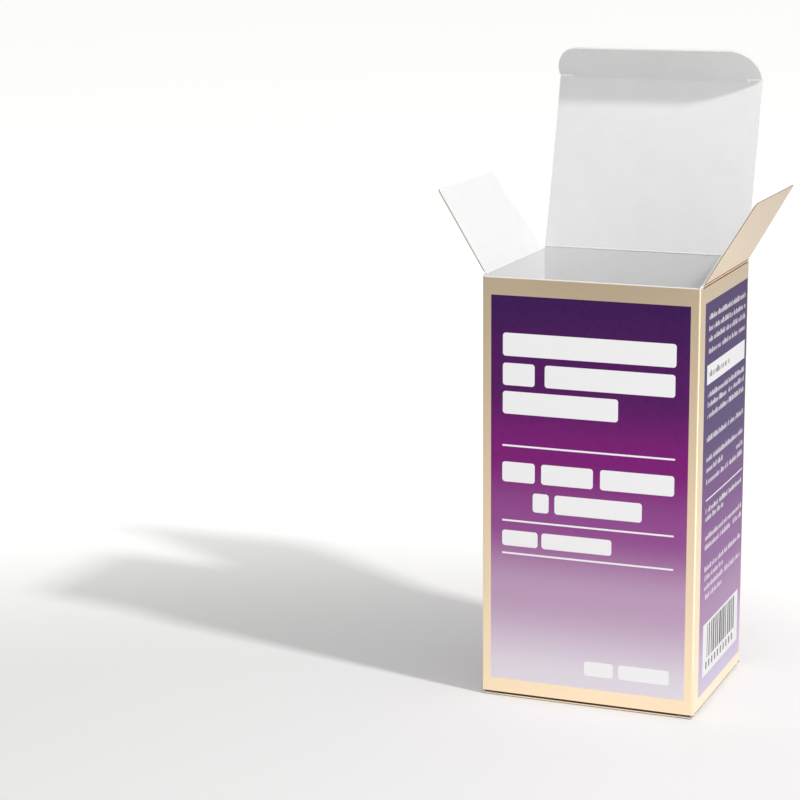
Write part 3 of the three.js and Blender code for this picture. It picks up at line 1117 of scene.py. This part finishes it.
# the base: a lid that is shut, its tuck folded up inside
baseLook = {
    "foldStart": 53.95,
    "shoulderEnd": 54.5,
    # length in millimetres and turn in degrees of each stretch of the tuck: the fold, then up behind the wall
    "runs": [(1.2, 124), (0.45, 0), (1.2, -27), (20.0, 0)],
    "runStep": 0.06,
    "slit": 0.15,
    "lobe": 0.6,
    "tip": 14.0,
    "straight": 1.0,
    "cornerWidth": 8.3,
    "cornerSteps": 12,
    # painted shade on stretches of the fold: a painted contact shadow where it lies on the floor, and painted
    # shade where it turns in under the front wall
    "paintedBands": [(0, 0.4), (0.85, 3.5)],
}
baseShadeSlot = 3
baseEdgeSlot = 4
baseHinge = Vector((0, carton["lidAxisY"], halfBoard))
baseFoldStart = baseLook["foldStart"]
shoulderEnd = baseLook["shoulderEnd"]


# where the outer face runs at a along the base lid: forward, up and direction
def baseProfile(a):
    if a <= baseFoldStart:
        return a, 0.0, 0.0
    forward, up, angle = baseFoldStart, 0.0, 0.0
    left = a - baseFoldStart
    for length, turn in baseLook["runs"]:
        step = min(left, length)
        count = max(1, round(step / baseLook["runStep"]))
        for i in range(count):
            angle += radians(turn) * step / length / count / 2
            forward += cos(angle) * step / count
            up += sin(angle) * step / count
            angle += radians(turn) * step / length / count / 2
        left -= step
        if left <= 0:
            break
    return forward, up, angle


# a runs forward from the hinge under the base, then up inside the front wall
def placeBase(b, a, w):
    if abs(b) > carton["creaseHalf"] + 0.1 and a < shoulderEnd + 0.01:
        return (b, baseHinge.y - a, w)
    forward, up, angle = baseProfile(a)
    return (b, baseHinge.y - forward + w * sin(angle), up + w * cos(angle))


def baseOutline():
    half = carton["lidHalf"]
    crease = carton["creaseHalf"]
    slitEnd = crease + baseLook["slit"]
    lobe = shoulderEnd + baseLook["lobe"]
    corners = tuckCorners(baseLook["cornerWidth"], lobe + baseLook["straight"],
                          baseFoldStart + baseLook["tip"], baseLook["cornerSteps"])
    return ([(-half, overlap), (half, overlap), (half, shoulderEnd), (slitEnd, shoulderEnd),
             (slitEnd, baseFoldStart), (crease, baseFoldStart), (crease, lobe), (half, lobe)]
            + corners
            + [(-half, lobe), (-crease, lobe), (-crease, baseFoldStart), (-slitEnd, baseFoldStart),
               (-slitEnd, shoulderEnd), (-half, shoulderEnd)])


def baseSkin(b, a):
    # painted shade on the listed stretches of the fold
    isShaded = any(low < a - baseFoldStart < high for low, high in baseLook["paintedBands"])
    return baseShadeSlot if isShaded else foilSlot


def baseEdgeSlotAt(spot):
    return baseEdgeSlot


foldEnd = baseFoldStart + baseLook["runs"][0][0]
bendStart = foldEnd + baseLook["runs"][1][0]
bendEnd = bendStart + baseLook["runs"][2][0]
baseCuts = steps(5, 50, 9) + steps(baseFoldStart, foldEnd, 8) + steps(bendStart, bendEnd, 5) + [60.0, 63.0]
base = makeSheet("base_lid", baseOutline(), steps(-30, 30, 12), baseCuts, placeBase, baseSkin,
                 edgeSlotAt=baseEdgeSlotAt)
dress(base, linerMaterial, edgeMaterial, foilMaterial, foldShadeMaterial, flapEdgeMaterial)
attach(base, "base")
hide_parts("bottom_lid")
makeCrease("base_crease", baseHinge, (0, 0, -1), (0, -1, 0), (1, 0, 0), (0, -1, 1), (-lidEdge, lidEdge),
           (overlap, overlap), foilMaterial, bead=0.0)
print("creases and base made")


# floor, light and camera, in metres

studio = {
    "floorSize": 6.0,
    "floorDrop": 0.00002,
    "floorTones": ((0.90, 0.897, 0.89, 1.0), (0.92, 0.917, 0.91, 1.0)),
    "floorRoughness": 0.6,
    "floorLight": (1.0, 1.0, 0.99, 1.0),
    # the camera's own glow, from this spot outwards
    "glowFrom": (-0.04, -0.18, 0.0),
    "glowRange": (0.16, 0.45),
    "glow": (0.06, 0.52),
    # what the gold mirrors: the floor glows for mirrored rays alone, a painted reflection of pale paper close
    # by and a painted highlight strip out to the right
    "sheenRange": (0.05, 0.52),
    "sheen": (0.52, 0.0),
    "stripTowards": (0.94, -0.342, 0.0),
    "stripEdge": (0.90, 0.98),
    "strip": (0.0, 1.2),
    "stripRange": (0.06, 0.16),
    # and, for mirrored rays alone, darker paper in front: a painted darker reflection
    "aheadRange": (-0.28, -0.58),
    "ahead": (0.0, 0.24),
    "roomLevel": 0.04,
    "roomFront": 0.88,
    "roomUp": 0.34,
    "roomBack": 0.30,
    "roomSeen": 0.975,
}


def makeFloor():
    grid = bmesh.new()
    bmesh.ops.create_grid(grid, x_segments=4, y_segments=4, size=studio["floorSize"])
    mesh = bpy.data.meshes.new("floor")
    grid.to_mesh(mesh)
    grid.free()
    floor = bpy.data.objects.new("floor", mesh)
    floor.location.z = -studio["floorDrop"]
    bpy.context.scene.collection.objects.link(floor)
    material, tree, shader, vector = newMaterial("paleFloor")
    tone = mix(tree, noise(tree, vector, 3.0), *studio["floorTones"])
    shader["Roughness"].default_value = studio["floorRoughness"]
    path = tree.nodes.new("ShaderNodeLightPath").outputs

    # the paper sweep goes on to plain white behind the carton, for the camera alone
    offset = vectorMath(tree, "DISTANCE", vector, studio["glowFrom"])["Value"]
    far = mapRange(tree, offset, studio["glowRange"], studio["glow"], smooth=True)
    glow = calc(tree, "MULTIPLY", far, path["Is Camera Ray"])

    # for mirrored rays alone the floor glows: a painted reflection of bright paper close to the carton in the
    # gold, and a painted highlight strip that the rounded fold mirrors
    distance = vectorMath(tree, "LENGTH", vector)["Value"]
    near = mapRange(tree, distance, studio["sheenRange"], studio["sheen"])
    heading = vectorMath(tree, "NORMALIZE", vector)["Vector"]
    facing = vectorMath(tree, "DOT_PRODUCT", heading, studio["stripTowards"])["Value"]
    strip = mapRange(tree, facing, studio["stripEdge"], studio["strip"], smooth=True)
    away = mapRange(tree, distance, studio["stripRange"])
    mirrored = calc(tree, "MULTIPLY_ADD", strip, away, near)
    glow = calc(tree, "ADD", glow, calc(tree, "MULTIPLY", mirrored, path["Is Glossy Ray"]))

    # for mirrored rays the floor turns dark in front: a painted darker reflection in the front wall's gold
    # than in the right wall's
    ahead = mapRange(tree, separate(tree, vector)[1], studio["aheadRange"], studio["ahead"])
    dull = calc(tree, "MULTIPLY", path["Is Glossy Ray"], ahead)
    tree.links.new(mix(tree, dull, tone, (0.0, 0.0, 0.0, 1.0)), shader["Base Color"])
    shader["Emission Color"].default_value = studio["floorLight"]
    tree.links.new(glow, shader["Emission Strength"])
    floor.data.materials.append(material)


# white for the camera, while a pale room lights the carton, brightest in front and dark where gold mirrors it
def makeRoom():
    world = bpy.data.worlds.new("studio")
    bpy.context.scene.world = world
    world.use_nodes = True
    tree = world.node_tree
    background = tree.nodes["Background"].inputs
    coords = tree.nodes.new("ShaderNodeTexCoord")
    towards = separate(tree, coords.outputs["Generated"])
    path = tree.nodes.new("ShaderNodeLightPath").outputs
    forward = calc(tree, "MAXIMUM", calc(tree, "MULTIPLY", towards[1], -1.0), 0.0)
    unmirrored = calc(tree, "MULTIPLY", forward, calc(tree, "SUBTRACT", 1.0, path["Is Glossy Ray"]))
    level = calc(tree, "MULTIPLY_ADD", unmirrored, studio["roomFront"], studio["roomLevel"])
    for axis, share in ((2, studio["roomUp"]), (1, studio["roomBack"])):
        level = calc(tree, "MULTIPLY_ADD", calc(tree, "MAXIMUM", towards[axis], 0.0), share, level)
    strength = mix(tree, path["Is Camera Ray"], level, studio["roomSeen"], kind="FLOAT")
    tree.links.new(strength, background["Strength"])
    background["Color"].default_value = (1.0, 1.0, 1.0, 1.0)


lights = {
    "key": {"place": (0.82, -0.235, 0.955), "target": (0, 0, 0.08), "size": (0.08, 0.08), "power": 8.8},
    "edge": {"place": (0.95, -0.35, 0.22), "target": (0, 0, 0.07), "size": (0.05, 0.5), "power": 0.3},
}


def addLight(name, place, target, size, power):
    light = bpy.data.lights.new(name, "AREA")
    light.shape = "RECTANGLE"
    light.size, light.size_y = size
    light.energy = power
    lamp = bpy.data.objects.new(name, light)
    lamp.location = place
    lamp.rotation_euler = (Vector(target) - Vector(place)).to_track_quat("-Z", "Y").to_euler()
    bpy.context.scene.collection.objects.link(lamp)


makeFloor()
makeRoom()
for lightName, values in lights.items():
    addLight(lightName, **values)

view = {
    "yaw": radians(22.3655),
    "tilt": radians(90 - 12.4185),
    "roll": radians(-0.4259),
    "place": Vector((0.20715, -0.67518, 0.24366)),
    "lens": 107.304,
    "sensor": 36.0,
    "clipStart": 0.01,
}
camera = bpy.data.objects.new("camera", bpy.data.cameras.new("camera"))
camera.data.lens = view["lens"]
camera.data.sensor_width = view["sensor"]
camera.data.clip_start = view["clipStart"]
turn = (Matrix.Rotation(view["yaw"], 4, "Z") @ Matrix.Rotation(view["tilt"], 4, "X")
        @ Matrix.Rotation(view["roll"], 4, "Z"))
camera.matrix_world = Matrix.Translation(view["place"]) @ turn
bpy.context.scene.collection.objects.link(camera)
bpy.context.scene.camera = camera
bpy.context.scene.view_settings.view_transform = "Standard"
print("studio made")
